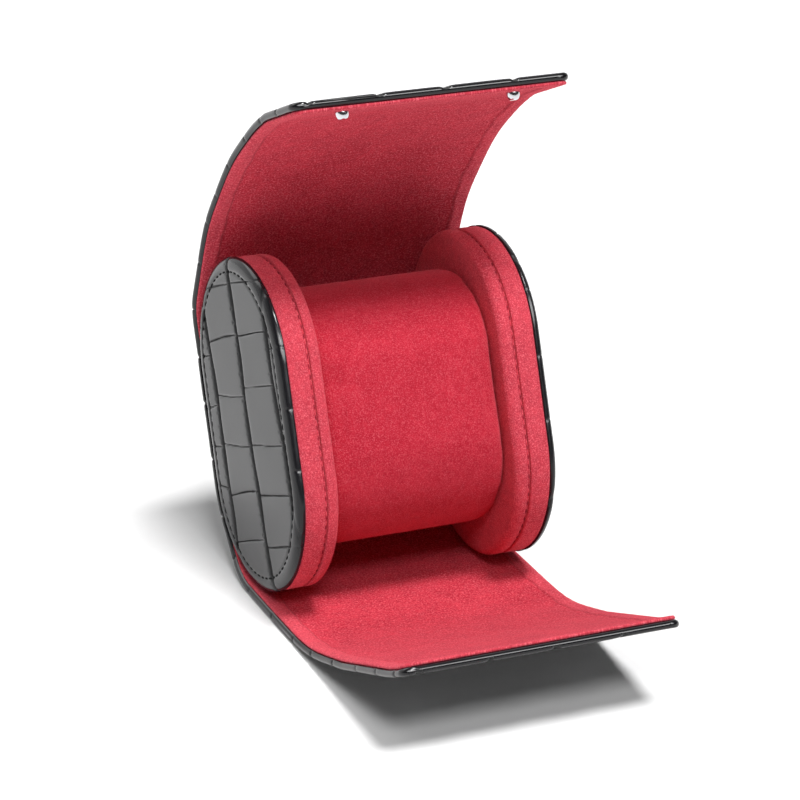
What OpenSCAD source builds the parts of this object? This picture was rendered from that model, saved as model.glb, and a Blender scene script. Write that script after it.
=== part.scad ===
// Travel case for one wristwatch: two oval end caps stand in a wide leather wrap,
// with a soft cushion between them. The wrap's two flaps roll round the caps and
// snap together at the front. The case is drawn open, leaning back on its wrap.
// x runs along the cushion. Inside seat(), y points to the back and z along the
// caps' long axis; outside it the case stands on the floor plane z = 0.

/* [Case] */
// Long axis of the end caps
cap_height = 98; // [80:0.5:130]
// Depth of the end caps, which is twice the radius of their round ends
cap_depth = 65; // [50:0.5:76]
// Width of the wrap, from edge to edge
case_width = 84.8; // [77:0.2:112]
// How far the caps' outer faces lie inside the wrap's edges
cap_set_in = 1.2; // [0:0.1:2]
// Angle at which the open case leans back on the floor
lean = 24; // [15:1:25]

/* [Wrap layers] */
// Thickness of the outer leather
leather_t = 1.3; // [0.8:0.1:1.8]
// Thickness of the stiffener sheet between leather and lining
stiffener_t = 1.1; // [0.6:0.1:1.6]
// Thickness of the suede lining
lining_t = 0.9; // [0.5:0.1:1.4]
// Width of the leather turned round the edges of the stiffener
edge_turn = 1.3; // [0.8:0.1:2.5]
// How far the lining stays back from the edges
lining_inset = 0.8; // [0.3:0.1:1.2]
// Radius of the flaps' front corners
corner_r = 4; // [2:0.5:8]
// Glue gap between the caps and the lining
glue_gap = 0.15; // [0.1:0.05:0.3]
// Gap between two panels of a flap, where the wrap folds
fold_gap = 0.2; // [0.1:0.05:0.4]

/* [Top flap] */
// Angle round the caps' top at which the flap leaves them
top_leave = 40; // [30:1:55]
// How far each fold turns when the flap closes, from the root to the front
top_folds = [32, 32, 28]; // [20:1:36]
// Standing curve of the first two panels
top_curves = [18, 13]; // [0:1:32]
// Straight length of the front panel
top_front = 22; // [14:0.5:32]

/* [Bottom flap] */
// How far each fold turns when the flap closes, from the root to the front
bottom_folds = [31, 31, 29]; // [20:1:36]
// Standing curve of the first two panels
bottom_curves = [1, 17]; // [0:1:20]
// Straight length of the front panel before its lip
bottom_front = 30; // [24:0.5:40]
// Length of the lip that curls towards the caps
lip_length = 14; // [8:0.5:20]
// Angle of the lip's curl
lip_curl = 10; // [4:1:16]

/* [Closing] */
// Clearance between the caps and the closed bottom flap
inner_clear = 1.2; // [0.6:0.1:3]
// Clearance between the two closed flaps, which the snaps bridge
snap_gap = 2; // [1.6:0.1:3]
// Distance of each snap from the middle of the case
snap_x = 26; // [15:0.5:32]
// Distance of the studs from the top flap's front edge
stud_setback = 6; // [5:0.5:10]
// Radius of a stud's head
stud_r = 2.1; // [1.6:0.1:2.6]
// Width of a socket's rim round its mouth
socket_rim = 2.1; // [1.4:0.1:3]
// Thickness of the sheet metal of the snaps
snap_sheet = 0.35; // [0.25:0.05:0.5]

/* [End caps] */
// Depth of the black rim of each cap
rim_depth = 2.6; // [2:0.1:4]
// Rounding of the rim's outer edge
rim_round = 1.1; // [0.6:0.1:1.6]
// Thickness of each cap, from its outer to its inner face
cap_thickness = 13.6; // [11:0.2:18]
// Depth of the suede collar next to the rim
collar_depth = 7.1; // [5:0.1:9]
// How far the suede lies inside the rim
collar_inset = 0.4; // [0.2:0.1:0.8]
// Thickness of the suede on the caps
suede_t = 1.2; // [0.8:0.1:1.8]
// Width of the seam between collar and facing
seam_width = 0.9; // [0.6:0.1:1.4]
// Depth of the seam below the suede
seam_depth = 0.5; // [0.3:0.1:0.8]
// Rounding of the facing's edge
facing_round = 2.2; // [1.5:0.1:3]
// Wall of the card frame inside each cap
frame_wall = 1.8; // [1.2:0.1:2.6]
// Thickness of the foam behind the facing
pad_t = 2; // [1:0.2:4]

/* [Cushion] */
// Length of the cushion's section along the caps' long axis
cushion_height = 76; // [60:1:90]
// Depth of the cushion from front to back
cushion_depth = 52; // [40:1:60]
// How far the cushion's front lies behind the caps' front
cushion_setback = 4.5; // [3:0.5:8]
// Rounding of the cushion's two end rims
cushion_round = 3.5; // [2:0.5:6]
// Thickness of the cushion's suede cover
cover_t = 1.4; // [1:0.1:2.5]
// Thickness of the foam between cover and tube
sleeve_t = 5; // [3:0.5:8]
// Wall of the card tube inside the cushion
tube_wall = 1.6; // [1:0.2:2.4]

/* [Hidden] */
$fn = 72;
// How far cutting shapes reach past what they cut, and past a face they only open
over = 1;
cut_lap = 0.01;

leather_colour = "#1d1c1f";
suede_colour = "#b3243f";
board_colour = "#8d7b60";
stiffener_colour = "#3a3a3c";
foam_colour = "#d9cfb4";
metal_colour = "#c9ccd0";

// Caps: round ends of cap_r, joined by a straight stretch
cap_r = cap_depth / 2;
cap_straight = cap_height - cap_depth;
cap_out = case_width / 2 - cap_set_in;
collar_out = cap_out - rim_depth;
seam_out = collar_out - collar_depth + seam_width;
facing_in = cap_out - cap_thickness;
suede_r = cap_r - collar_inset;
frame_r = suede_r - suede_t;

// Wrap: its path is the lining's inner face, and depths are counted outwards from it
wrap_t = lining_t + stiffener_t + leather_t;
stiffener_in = lining_t;
leather_in = lining_t + stiffener_t;
path_r = cap_r + glue_gap;
corner_cut = wrap_t + over;
arc_step = 4;
top_side = 1;
bottom_side = -1;

// The flaps close round circles that touch both the wrap where it leaves the caps
// and the line on which the flap's front panel ends
bottom_leave = 90 - lean;
bottom_face = cap_r + inner_clear;
top_face = bottom_face + wrap_t + snap_gap;
bottom_r = (bottom_face + path_r * cos(bottom_leave)) / (1 + cos(bottom_leave));
top_r = (top_face + path_r * cos(top_leave)) / (1 + cos(top_leave));
top_last_curve = 180 - top_leave - sum(top_folds) - sum(top_curves);
bottom_last_curve = 180 - bottom_leave - sum(bottom_folds) - sum(bottom_curves);

function sum(list) = len(list) == 0 ? 0 : [for (value = list) 1] * list;

// A state on the path is [y, z, direction]. A run is [length, turn].
function go(state, run) = abs(run[1]) < 0.001
    ? [state[0] + run[0] * cos(state[2]), state[1] + run[0] * sin(state[2]), state[2]]
    : let (radius = run[0] * 180 / (PI * run[1]), ahead = state[2] + run[1])
      [state[0] + radius * (sin(ahead) - sin(state[2])),
       state[1] - radius * (cos(ahead) - cos(state[2])), ahead];
function go_all(state, runs, count) = count == 0
    ? state : go(go_all(state, runs, count - 1), runs[count - 1]);
function end_of(state, runs) = go_all(state, runs, len(runs));
function trail(state, runs) = concat([state],
    [for (i = [0 : len(runs) - 1])
        let (from = go_all(state, runs, i), steps = max(1, ceil(abs(runs[i][1]) / arc_step)))
        for (k = [1 : steps]) go(from, runs[i] * k / steps)]);
function beside(state, depth, side) =
    [state[0] + side * depth * sin(state[2]), state[1] - side * depth * cos(state[2])];
function row(states, depth, side) = [for (state = states) beside(state, depth, side)];
function backwards(list) = [for (i = [len(list) - 1 : -1 : 0]) list[i]];
function band(states, from, to, side) =
    concat(row(states, from, side), backwards(row(states, to, side)));

// Length of wrap from a fold to where the panel touches its circle, and of a curve
function reach(radius, fold) = radius * tan(fold / 2);
function curve(radius, turn) = [radius * turn * PI / 180, turn];

// The middle panel runs from the bottom root fold, round the caps' back, to the top one
back_middle_up = [path_r, 0, 90];
back_middle_down = [path_r, 0, -90];
top_root_runs = [[cap_straight / 2, 0], curve(path_r, top_leave),
    [reach(top_r, top_folds[0]) - fold_gap / 2, 0]];
bottom_root_runs = [[cap_straight / 2, 0], turned(curve(path_r, bottom_leave)),
    [reach(bottom_r, bottom_folds[0]) - fold_gap / 2, 0]];
function turned(run) = [run[0], -run[1]];
function half_gap(state) = go(state, [fold_gap / 2, 0]);

// Panels between two folds, each shorter by half a gap at a fold
function panel_runs(radius, fold_1, turn, fold_2, side) = [
    [reach(radius, fold_1) - fold_gap / 2, 0],
    [radius * turn * PI / 180, side * turn],
    [reach(radius, fold_2) - fold_gap / 2, 0]];

top_fold_1 = half_gap(end_of(back_middle_up, top_root_runs));
top_shoulder_start = half_gap(top_fold_1);
top_shoulder_runs = panel_runs(top_r, top_folds[0], top_curves[0], top_folds[1], top_side);
top_fold_2 = half_gap(end_of(top_shoulder_start, top_shoulder_runs));
top_crown_start = half_gap(top_fold_2);
top_crown_runs = panel_runs(top_r, top_folds[1], top_curves[1], top_folds[2], top_side);
top_fold_3 = half_gap(end_of(top_crown_start, top_crown_runs));
top_front_start = half_gap(top_fold_3);
top_front_runs = [[reach(top_r, top_folds[2]) - fold_gap / 2, 0],
    curve(top_r, top_last_curve), [top_front - edge_turn, 0]];

bottom_fold_1 = half_gap(end_of(back_middle_down, bottom_root_runs));
bottom_shoulder_start = half_gap(bottom_fold_1);
bottom_shoulder_runs = panel_runs(bottom_r, bottom_folds[0], bottom_curves[0], bottom_folds[1],
    bottom_side);
bottom_fold_2 = half_gap(end_of(bottom_shoulder_start, bottom_shoulder_runs));
bottom_crown_start = half_gap(bottom_fold_2);
bottom_crown_runs = panel_runs(bottom_r, bottom_folds[1], bottom_curves[1], bottom_folds[2],
    bottom_side);
bottom_fold_3 = half_gap(end_of(bottom_crown_start, bottom_crown_runs));
bottom_front_start = half_gap(bottom_fold_3);
bottom_front_lead = [[reach(bottom_r, bottom_folds[2]) - fold_gap / 2, 0],
    turned(curve(bottom_r, bottom_last_curve))];
bottom_front_runs = concat(bottom_front_lead, [[bottom_front, 0],
    [lip_length - edge_turn, -lip_curl]]);

// Heights at which the closed flaps' straight fronts begin
top_close_z = cap_straight / 2 + (path_r - top_r) * sin(top_leave);
bottom_close_z = -cap_straight / 2 + (bottom_r - path_r) * sin(bottom_leave);
snap_close_z = top_close_z - top_front + stud_setback;
stud_state = end_of(top_front_start, concat([top_front_runs[0], top_front_runs[1]],
    [[top_front - stud_setback, 0]]));
socket_state = end_of(bottom_front_start, concat(bottom_front_lead,
    [[snap_close_z - bottom_close_z, 0]]));

// The case stands on the straight stretch under its middle panel
rest_start = go_all(back_middle_down, bottom_root_runs, 2);
rest_state = go(rest_start, [bottom_root_runs[2][0] / 2, 0]);
rest_point = beside(rest_state, wrap_t, bottom_side);

// Snaps: the stud's head goes into the socket's mouth, and its flange stays off the rim
snap_play = 0.2;
stud_bite = 0.6;
stud_flange = 1.1;
stud_waist = 0.45;
head_share = 0.62;
head_under = 0.35;
head_taper = 0.2;
socket_crown = 0.6;
socket_round = 0.5;
stud_height = snap_gap + stud_bite;
socket_height = snap_gap - snap_sheet - snap_play;
mouth_r = stud_r + snap_play;
socket_r = mouth_r + socket_rim;
shank_r = 0.9;
rivet_r = 3.4;
rivet_fit = 0.05;

// Cushion
cushion_r = cushion_depth / 2;
cushion_straight = cushion_height - cushion_depth;
cushion_y = -cap_r + cushion_setback + cushion_r;
cushion_half = facing_in;
end_disc_t = 1.5;

module seat() {
    rotate([-lean, 0, 0]) translate([0, -rest_point[0], -rest_point[1]]) children();
}

// Turns a drawing in the y-z plane to face along x
module facing_x() {
    rotate([90, 0, 90]) children();
}

module along_x(from, to) {
    facing_x() translate([0, 0, from]) linear_extrude(to - from) children();
}

module at_state(state) {
    translate([0, state[0], state[1]]) rotate([state[2], 0, 0]) children();
}

// Oval of two round ends and a straight stretch
module oval(radius, straight) {
    square([2 * radius, straight], center = true);
    for (end = [-1, 1])
        translate([0, end * straight / 2]) circle(radius);
}

// Carries a section, drawn as [distance from the middle, x], all the way round an oval
module round_oval(straight) {
    facing_x() {
        for (turn = [0, 180])
            rotate([0, 0, turn]) {
                translate([0, straight / 2, 0]) rotate_extrude(angle = 180) children();
                rotate([90, 0, 0]) translate([0, 0, -straight / 2])
                    linear_extrude(straight) children();
            }
    }
}

// Section from the middle to the radius, with its far outer corner rounded
module round_cornered(radius, from, to, round) {
    translate([0, from]) square([radius - round, to - from]);
    translate([0, from]) square([radius, to - from - round]);
    intersection() {
        translate([radius - round, to - round]) circle(round, $fn = 32);
        translate([radius - round, to - round]) square(round);
    }
}

module layer(states, from, to, side, width) {
    along_x(-width / 2, width / 2) polygon(band(states, from, to, side));
}

// Outer leather with its turned edges down both sides
module edged_leather(states, side) {
    layer(states, leather_in, wrap_t, side, case_width);
    for (edge = [-1, 1])
        translate([edge * (case_width - edge_turn) / 2, 0, 0])
            layer(states, stiffener_in, wrap_t, side, edge_turn);
}

module stiffener_layer(states, side) {
    layer(states, stiffener_in, leather_in, side, case_width - 2 * edge_turn);
}

module lining_layer(states, side) {
    layer(states, 0, lining_t, side, case_width - 2 * lining_inset);
}

// Rounds the two front corners of a flap whose tip is at a state
module front_corners(tip, half_width, radius) {
    difference() {
        children();
        for (edge = [-1, 1])
            at_state(tip) scale([edge, 1, 1])
                translate([half_width - radius, -radius, -corner_cut]) difference() {
                    cube([radius + over, radius + over, 2 * corner_cut]);
                    translate([0, 0, -over])
                        cylinder(h = 2 * (corner_cut + over), r = radius);
                }
    }
}

// --- End caps, drawn for the right side and mirrored for the left ---

module right_side() {
    seat() children();
}

module left_side() {
    seat() mirror([1, 0, 0]) children();
}

// Leather tray over the outer face, with a rounded rim
module cap_cover() {
    color(leather_colour) difference() {
        round_oval(cap_straight) round_cornered(cap_r, collar_out, cap_out, rim_round);
        along_x(collar_out - over, cap_out - leather_t) oval(cap_r - leather_t, cap_straight);
    }
}

module cap_board() {
    color(board_colour) along_x(collar_out, cap_out - leather_t)
        oval(cap_r - leather_t, cap_straight);
}

module ring_x(outer, inner, from, to) {
    along_x(from, to) difference() {
        oval(outer, cap_straight);
        oval(inner, cap_straight);
    }
}

module cap_frame() {
    color(board_colour) ring_x(frame_r, frame_r - frame_wall, facing_in + suede_t, collar_out);
}

module cap_collar() {
    color(suede_colour) ring_x(suede_r, frame_r, seam_out, collar_out);
}

module cap_seam() {
    color(suede_colour) ring_x(suede_r - seam_depth, frame_r, seam_out - seam_width, seam_out);
}

// Suede tray that faces the cushion, with a soft edge
module cap_facing() {
    color(suede_colour) difference() {
        mirror([1, 0, 0]) round_oval(cap_straight)
            round_cornered(suede_r, seam_width - seam_out, -facing_in, facing_round);
        along_x(facing_in + suede_t, seam_out) oval(frame_r, cap_straight);
    }
}

module cap_pad() {
    color(foam_colour) along_x(facing_in + suede_t, facing_in + suede_t + pad_t)
        oval(frame_r - frame_wall, cap_straight);
}

// --- Middle panel of the wrap: leather, soft padding and lining ---

top_root = trail(back_middle_up, top_root_runs);
bottom_root = trail(back_middle_down, bottom_root_runs);

function back_row(depth) = concat(backwards(row(bottom_root, depth, bottom_side)),
    row(top_root, depth, top_side));

module back_layer(from, to, width) {
    along_x(-width / 2, width / 2)
        polygon(concat(back_row(from), backwards(back_row(to))));
}

module back_leather() {
    color(leather_colour) seat() {
        back_layer(leather_in, wrap_t, case_width);
        for (edge = [-1, 1])
            translate([edge * (case_width - edge_turn) / 2, 0, 0])
                back_layer(stiffener_in, wrap_t, edge_turn);
    }
}

module back_padding() {
    color(foam_colour) seat() back_layer(stiffener_in, leather_in, case_width - 2 * edge_turn);
}

module back_lining() {
    color(suede_colour) seat() back_layer(0, lining_t, case_width - 2 * lining_inset);
}

// --- Panels of the flaps ---

module panel_leather(start, runs, side) {
    color(leather_colour) seat() edged_leather(trail(start, runs), side);
}

module panel_stiffener(start, runs, side) {
    color(stiffener_colour) seat() stiffener_layer(trail(start, runs), side);
}

module panel_lining(start, runs, side) {
    color(suede_colour) seat() lining_layer(trail(start, runs), side);
}

// Front panels: the leather is turned round the front edge as well
module front_leather(start, runs, side) {
    front_end = end_of(start, runs);
    tip = go(front_end, [edge_turn, 0]);
    front_corners(tip, case_width / 2, corner_r) {
        edged_leather(trail(start, concat(runs, [[edge_turn, 0]])), side);
        layer([front_end, tip], stiffener_in, wrap_t, side, case_width);
    }
}

module front_stiffener(start, runs, side) {
    front_corners(end_of(start, runs), case_width / 2 - edge_turn, corner_r - edge_turn)
        stiffener_layer(trail(start, runs), side);
}

module front_lining(start, runs, side) {
    lining_runs = concat(runs, [[edge_turn - lining_inset, 0]]);
    front_corners(end_of(start, lining_runs), case_width / 2 - lining_inset,
            corner_r - lining_inset)
        lining_layer(trail(start, lining_runs), side);
}

// Puts a thing at both snaps, with z pointing out of the side that it is on
module at_snaps(state) {
    for (edge = [-1, 1])
        at_state(state) translate([edge * snap_x, 0, 0]) children();
}

module stud_shank_hole() {
    translate([0, 0, -leather_in]) cylinder(h = leather_in + over, r = shank_r + rivet_fit);
}

module rivet_seat(height) {
    cylinder(h = height, r = rivet_r + rivet_fit);
}

module top_front_leather() {
    color(leather_colour) seat() front_leather(top_front_start, top_front_runs, top_side);
}

module top_front_stiffener() {
    color(stiffener_colour) seat() difference() {
        front_stiffener(top_front_start, top_front_runs, top_side);
        at_snaps(stud_state) {
            stud_shank_hole();
            translate([0, 0, -leather_in - cut_lap])
                rivet_seat(snap_sheet + rivet_fit + cut_lap);
        }
    }
}

module top_front_lining() {
    color(suede_colour) seat() difference() {
        front_lining(top_front_start, top_front_runs, top_side);
        at_snaps(stud_state) stud_shank_hole();
    }
}

module bottom_front_leather() {
    color(leather_colour) seat() difference() {
        front_leather(bottom_front_start, bottom_front_runs, bottom_side);
        at_snaps(socket_state) cylinder(h = wrap_t + over, r = mouth_r + snap_sheet + rivet_fit);
    }
}

module bottom_front_stiffener() {
    color(stiffener_colour) seat() difference() {
        front_stiffener(bottom_front_start, bottom_front_runs, bottom_side);
        at_snaps(socket_state)
            translate([0, 0, leather_in - snap_sheet - rivet_fit]) rivet_seat(stiffener_t);
    }
}

module bottom_front_lining() {
    color(suede_colour) seat() front_lining(bottom_front_start, bottom_front_runs, bottom_side);
}

// --- Snaps ---

// Stud: a flange on the lining, a neck and a domed head
module snap_studs() {
    flange_r = stud_r + stud_flange;
    neck_r = stud_r - stud_waist;
    head_z = stud_height - stud_r * head_share;
    color(metal_colour) seat() at_snaps(stud_state) {
        rotate_extrude() {
            square([flange_r - snap_sheet / 2, snap_sheet]);
            translate([flange_r - snap_sheet / 2, snap_sheet / 2])
                circle(snap_sheet / 2, $fn = 24);
            square([neck_r, head_z]);
            translate([0, head_z]) intersection() {
                dome(stud_r, stud_height - head_z);
                translate([0, -over]) square([stud_r, stud_r + 2 * over]);
            }
        }
    }
}

// Dome section of a given radius and height above its widest line, and its underside
module dome(radius, height) {
    ball = (radius * radius + height * height) / (2 * height);
    intersection() {
        translate([0, height - ball]) circle(ball, $fn = 64);
        square([radius, height]);
    }
    translate([0, -head_under]) square([radius - head_taper, head_under]);
}

// Rivet behind the stud: a disc between stiffener and leather, with a shank through the lining
module stud_rivets() {
    color(metal_colour) seat() at_snaps(stud_state) rotate_extrude() {
        translate([0, -leather_in]) square([rivet_r, snap_sheet]);
        translate([0, -leather_in]) square([shank_r, leather_in]);
    }
}

// Socket: a raised ring round the mouth that takes the stud's head
module snap_sockets() {
    crown_width = socket_rim * socket_crown;
    color(metal_colour) seat() at_snaps(socket_state) translate([0, 0, wrap_t])
        rotate_extrude() {
            translate([mouth_r, 0]) square([socket_rim, snap_sheet]);
            translate([mouth_r, 0]) square([crown_width, socket_height - socket_round]);
            translate([mouth_r + socket_round, 0])
                square([crown_width - 2 * socket_round, socket_height]);
            for (from_mouth = [socket_round, crown_width - socket_round])
                translate([mouth_r + from_mouth, socket_height - socket_round])
                    circle(socket_round, $fn = 24);
        }
}

// Rivet behind the socket: a tube through the leather with a flange under it
module socket_rivets() {
    color(metal_colour) seat() at_snaps(socket_state) rotate_extrude() {
        translate([mouth_r, leather_in]) square([snap_sheet, leather_t]);
        translate([mouth_r, leather_in - snap_sheet]) square([rivet_r - mouth_r, snap_sheet]);
    }
}

// --- Cushion ---

module cushion_at() {
    seat() translate([0, cushion_y, 0]) children();
}

// Suede tube over the foam, rounded towards both ends
module cushion_cover() {
    color(suede_colour) cushion_at() difference() {
        for (end = [0, 1])
            mirror([end, 0, 0]) round_oval(cushion_straight)
                round_cornered(cushion_r, 0, cushion_half, cushion_round);
        along_x(-cushion_half - over, cushion_half + over)
            oval(cushion_r - cushion_round, cushion_straight);
        along_x(-cushion_half + end_disc_t, cushion_half - end_disc_t)
            oval(cushion_r - cover_t, cushion_straight);
    }
}

module cushion_sleeve(outer, wall) {
    cushion_at() along_x(-cushion_half + end_disc_t, cushion_half - end_disc_t) difference() {
        oval(outer, cushion_straight);
        oval(outer - wall, cushion_straight);
    }
}

module cushion_foam() {
    color(foam_colour) cushion_sleeve(cushion_r - cover_t, sleeve_t);
}

module cushion_tube() {
    color(board_colour) cushion_sleeve(cushion_r - cover_t - sleeve_t, tube_wall);
}

// Suede discs that close the cushion's ends
module cushion_ends() {
    color(suede_colour) cushion_at()
        for (end = [0, 1])
            mirror([end, 0, 0]) along_x(cushion_half - end_disc_t, cushion_half)
                oval(cushion_r - cushion_round, cushion_straight);
}

module top_shoulder_leather() { panel_leather(top_shoulder_start, top_shoulder_runs, top_side); }
module top_shoulder_stiffener() { panel_stiffener(top_shoulder_start, top_shoulder_runs, top_side); }
module top_shoulder_lining() { panel_lining(top_shoulder_start, top_shoulder_runs, top_side); }
module top_crown_leather() { panel_leather(top_crown_start, top_crown_runs, top_side); }
module top_crown_stiffener() { panel_stiffener(top_crown_start, top_crown_runs, top_side); }
module top_crown_lining() { panel_lining(top_crown_start, top_crown_runs, top_side); }

module bottom_shoulder_leather() {
    panel_leather(bottom_shoulder_start, bottom_shoulder_runs, bottom_side);
}

module bottom_shoulder_stiffener() {
    panel_stiffener(bottom_shoulder_start, bottom_shoulder_runs, bottom_side);
}

module bottom_shoulder_lining() {
    panel_lining(bottom_shoulder_start, bottom_shoulder_runs, bottom_side);
}

module bottom_crown_leather() {
    panel_leather(bottom_crown_start, bottom_crown_runs, bottom_side);
}

module bottom_crown_stiffener() {
    panel_stiffener(bottom_crown_start, bottom_crown_runs, bottom_side);
}

module bottom_crown_lining() {
    panel_lining(bottom_crown_start, bottom_crown_runs, bottom_side);
}

left_side() cap_cover();  // left_cap_cover
left_side() cap_board();  // left_cap_board
left_side() cap_frame();  // left_cap_frame
left_side() cap_collar();  // left_cap_collar
left_side() cap_seam();  // left_cap_seam
left_side() cap_facing();  // left_cap_facing
left_side() cap_pad();  // left_cap_pad
right_side() cap_cover();  // right_cap_cover
right_side() cap_board();  // right_cap_board
right_side() cap_frame();  // right_cap_frame
right_side() cap_collar();  // right_cap_collar
right_side() cap_seam();  // right_cap_seam
right_side() cap_facing();  // right_cap_facing
right_side() cap_pad();  // right_cap_pad
back_leather();
back_padding();
back_lining();
cushion_cover();
cushion_foam();
cushion_tube();
cushion_ends();
top_shoulder_leather();
top_shoulder_stiffener();
top_shoulder_lining();
top_crown_leather();
top_crown_stiffener();
top_crown_lining();
top_front_leather();
top_front_stiffener();
top_front_lining();
bottom_shoulder_leather();
bottom_shoulder_stiffener();
bottom_shoulder_lining();
bottom_crown_leather();
bottom_crown_stiffener();
bottom_crown_lining();
bottom_front_leather();
bottom_front_stiffener();
bottom_front_lining();
snap_studs();
stud_rivets();
snap_sockets();
socket_rivets();
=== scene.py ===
"""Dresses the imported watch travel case: embossed leather outside, suede inside, chrome snaps.

Every length is in millimetres until a piece is placed, and in metres in its mesh.
"""

import math

import bmesh
import bpy
import numpy as np
from mathutils import Matrix, Vector


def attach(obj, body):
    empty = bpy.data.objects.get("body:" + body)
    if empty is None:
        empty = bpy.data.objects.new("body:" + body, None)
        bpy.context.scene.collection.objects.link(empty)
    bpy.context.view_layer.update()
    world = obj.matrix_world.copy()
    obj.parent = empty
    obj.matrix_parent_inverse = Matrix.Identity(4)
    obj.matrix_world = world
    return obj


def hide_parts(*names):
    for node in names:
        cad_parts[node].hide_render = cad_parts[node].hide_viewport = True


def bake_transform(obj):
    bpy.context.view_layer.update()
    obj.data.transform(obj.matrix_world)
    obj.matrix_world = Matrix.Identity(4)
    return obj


bl_info = {
    "name": "Watch travel case",
    "version": (1, 0, 0),
    "blender": (4, 5, 0),
    "location": "3D View > Sidebar > Watch case",
    "description": "Dresses a watch travel case in embossed leather and suede",
    "category": "Object",
}

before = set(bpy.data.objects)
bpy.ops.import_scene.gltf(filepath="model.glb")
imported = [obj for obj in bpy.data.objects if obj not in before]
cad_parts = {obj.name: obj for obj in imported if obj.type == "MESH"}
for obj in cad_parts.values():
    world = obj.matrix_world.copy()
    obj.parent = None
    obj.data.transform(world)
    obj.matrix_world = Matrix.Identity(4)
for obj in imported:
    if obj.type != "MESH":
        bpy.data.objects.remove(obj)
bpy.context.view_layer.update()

MM = 0.001

# Values of the part's source that the dressed pieces follow
CAP_R = 32.5
CAP_STRAIGHT = 33.0
CAP_OUT = 41.2
WRAP_HALF = 42.4
LEAN = math.radians(24.0)
FOLD_GAP = 0.2
LEATHER_T = 1.3
LEATHER_IN = 2.0
LINING_T = 0.9
WRAP_T = 3.3
LINING_INSET = 0.8
CORNER_R = 4.0
PATH_R = 32.65
TOP_LEAVE = 40.0
TOP_FOLDS = (32.0, 32.0, 28.0)
TOP_CURVES = (18.0, 13.0)
TOP_FRONT = 22.0
BOTTOM_LEAVE = 66.0
BOTTOM_FOLDS = (31.0, 31.0, 29.0)
BOTTOM_CURVES = (1.0, 17.0)
BOTTOM_FRONT = 30.0
LIP_LENGTH = 14.0
LIP_CURL = 10.0
EDGE_TURN = 1.3
INNER_CLEAR = 1.2
SNAP_GAP = 2.0
SNAP_X = 26.0
STUD_SETBACK = 6.0
STUD_R = 2.1
SOCKET_RIM = 2.1
SNAP_SHEET = 0.35
SNAP_PLAY = 0.2
STUD_BITE = 0.6
COLLAR_OUT = 38.6
SEAM_OUT = 32.4
SEAM_IN = 31.5
FACING_IN = 27.6
SUEDE_R = 32.1
FRAME_R = 30.9
SUEDE_T = 1.2
CUSHION_Y = -2.0
CUSHION_R = 26.0
CUSHION_STRAIGHT = 24.0

BOTTOM_FACE = CAP_R + INNER_CLEAR
TOP_FACE = BOTTOM_FACE + WRAP_T + SNAP_GAP


def closing_radius(face, leave):
    """Radius of the circle that a closed flap follows, from its front face and the angle where it leaves."""
    turn = math.cos(math.radians(leave))
    return (face + PATH_R * turn) / (1 + turn)


TOP_R = closing_radius(TOP_FACE, TOP_LEAVE)
BOTTOM_R = closing_radius(BOTTOM_FACE, BOTTOM_LEAVE)


def reach(radius, fold):
    return radius * math.tan(math.radians(fold) / 2)


def curve(radius, turn):
    return (radius * math.radians(abs(turn)), turn)


def flap_runs(radius, leave, folds, curves, front):
    """The runs of a flap from the middle of the back to its tip, each a length and a turn in degrees."""
    last = 180 - leave - sum(folds) - sum(curves)
    side = 1 if radius == TOP_R else -1
    runs = [(CAP_STRAIGHT / 2, 0), curve(PATH_R, side * leave)]
    for fold, turn in zip(folds, curves + (last,)):
        runs += [(2 * reach(radius, fold), 0), curve(radius, side * turn)]
    return [run for run in runs + front if run[0] > 0]


RUNS = {
    1: flap_runs(TOP_R, TOP_LEAVE, TOP_FOLDS, TOP_CURVES, [(TOP_FRONT, 0)]),
    -1: flap_runs(BOTTOM_R, BOTTOM_LEAVE, BOTTOM_FOLDS, BOTTOM_CURVES,
                  [(BOTTOM_FRONT, 0), (LIP_LENGTH - EDGE_TURN, -LIP_CURL), (EDGE_TURN, 0)]),
}
TIP = {side: sum(length for length, turn in runs) for side, runs in RUNS.items()}


def fold_lengths(radius, leave, folds, curves):
    """Lengths along the wrap at which a flap folds."""
    at = CAP_STRAIGHT / 2 + PATH_R * math.radians(leave)
    lengths = []
    for fold, turn in zip(folds, curves + (0,)):
        at += reach(radius, fold)
        lengths.append(at)
        at += reach(radius, fold)
        at += radius * math.radians(turn)
    return lengths


FOLDS = {
    1: fold_lengths(TOP_R, TOP_LEAVE, TOP_FOLDS, TOP_CURVES),
    -1: fold_lengths(BOTTOM_R, BOTTOM_LEAVE, BOTTOM_FOLDS, BOTTOM_CURVES),
}
# Length of leather on either side of a fold
FOLD_SPREAD = 9.0


def stiff_trace(side, lengths):
    """Depth, height and heading of the stiff panels' lining face.
    They are read at these lengths along the wrap from the middle of the back."""
    lengths = np.asarray(lengths, float)
    y, z, heading = np.zeros_like(lengths), np.zeros_like(lengths), np.zeros_like(lengths)
    at_y, at_z, at_heading, done = PATH_R, 0.0, math.radians(90.0 * side), 0.0
    for i, (length, turn) in enumerate(RUNS[side]):
        here = lengths >= done
        if i < len(RUNS[side]) - 1:
            here &= lengths < done + length
        bend = math.radians(turn)
        for part, along in ((here, lengths[here] - done), (None, np.array([length]))):
            if bend:
                radius = length / bend
                ahead = at_heading + bend * along / length
                new_y = at_y + radius * (np.sin(ahead) - math.sin(at_heading))
                new_z = at_z - radius * (np.cos(ahead) - math.cos(at_heading))
            else:
                ahead = np.full_like(along, at_heading)
                new_y = at_y + along * math.cos(at_heading)
                new_z = at_z + along * math.sin(at_heading)
            if part is not None:
                y[part], z[part], heading[part] = new_y, new_z, ahead
        at_y, at_z, at_heading, done = new_y[0], new_z[0], ahead[0], done + length
    return y, z, heading


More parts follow.
